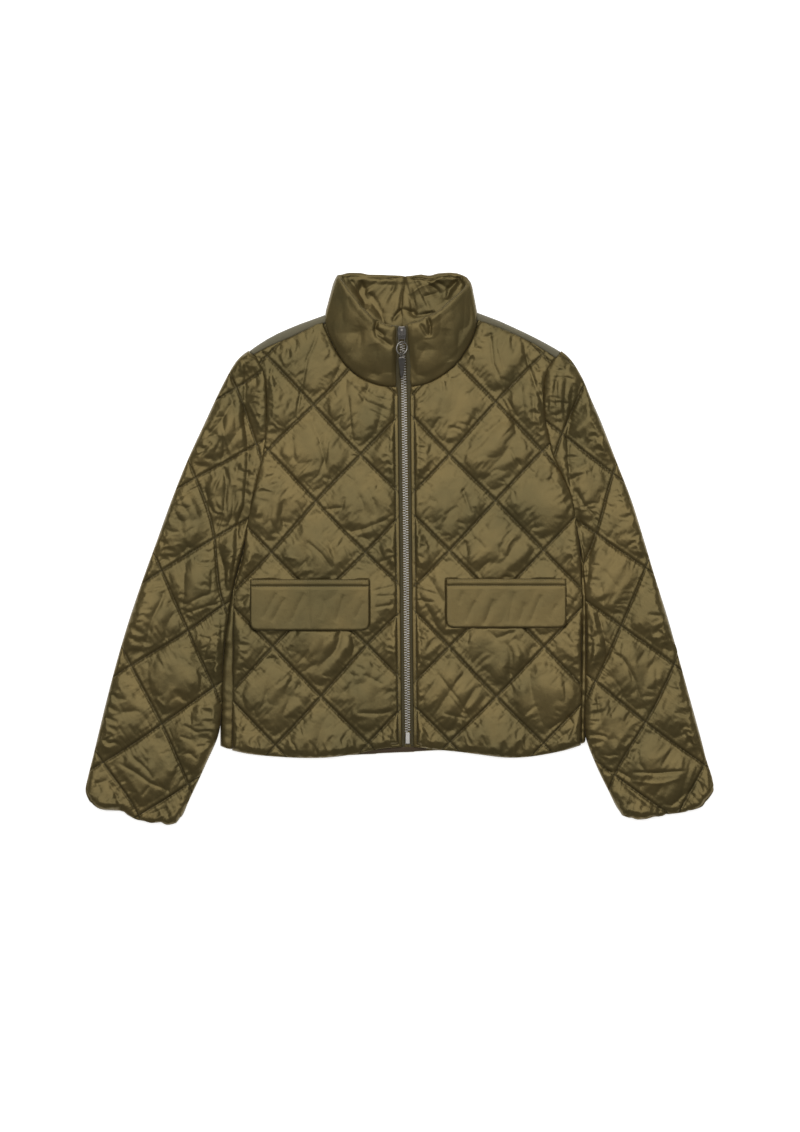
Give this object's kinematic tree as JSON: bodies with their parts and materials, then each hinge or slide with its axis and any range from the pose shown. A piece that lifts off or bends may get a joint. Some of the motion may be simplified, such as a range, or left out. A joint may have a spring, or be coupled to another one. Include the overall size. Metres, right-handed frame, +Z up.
{
  "type": "quilted jacket",
  "caption": "Diamond-quilted padded jacket laid flat on its back, with a stand collar, closed front zip, flap pockets and matte shoulder strips.",
  "frame": {"origin": "middle of the jacket's outline, on the surface that it lies on", "axes": "+X to the wearer's left across both sleeves, +Y towards the collar, +Z up out of the front, away from the surface"},
  "size_m": [0.8144, 0.715, 0.0397],
  "materials": {
    "nylon": "satin woven nylon",
    "canvas": "matte",
    "facing": "matte",
    "tape": "matte woven",
    "metal": "dark polished",
    "bright_metal": "polished"
  },
  "bodies": {
    "jacket": {"back": "nylon", "front_right": "nylon", "front_left": "nylon", "shoulder_strip_right": "canvas", "shoulder_strip_left": "canvas", "sleeve_right": "nylon", "sleeve_left": "nylon", "collar_right": "nylon", "collar_left": "nylon", "pocket_flap_right": "nylon", "pocket_flap_left": "nylon", "hem_facing": "facing", "zip_tape_right": "tape", "zip_tape_left": "tape", "zip_teeth": "metal", "zip_bottom_box": "bright_metal", "zip_slider": "metal"},
    "pull_link": {"zip_link": "metal"},
    "pull_ring": {"zip_ring": "metal"},
    "pull_tab": {"zip_tab": "metal"}
  },
  "joints": [
    {"name": "link_swing", "type": "hinge", "parent": "jacket", "child": "pull_link", "pos_m": [0.00303, 0.27709, 0.03449], "axis": [-1, 0, 0], "range_deg": [0, 140]},
    {"name": "ring_swing", "type": "hinge", "parent": "pull_link", "child": "pull_ring", "pos_m": [0.00303, 0.26542, 0.03533], "axis": [-1, 0, 0], "range_deg": [0, 40]},
    {"name": "tab_swing", "type": "hinge", "parent": "pull_ring", "child": "pull_tab", "pos_m": [0.00303, 0.2516, 0.03167], "axis": [-1, 0, 0], "range_deg": [0, 120]}
  ]
}
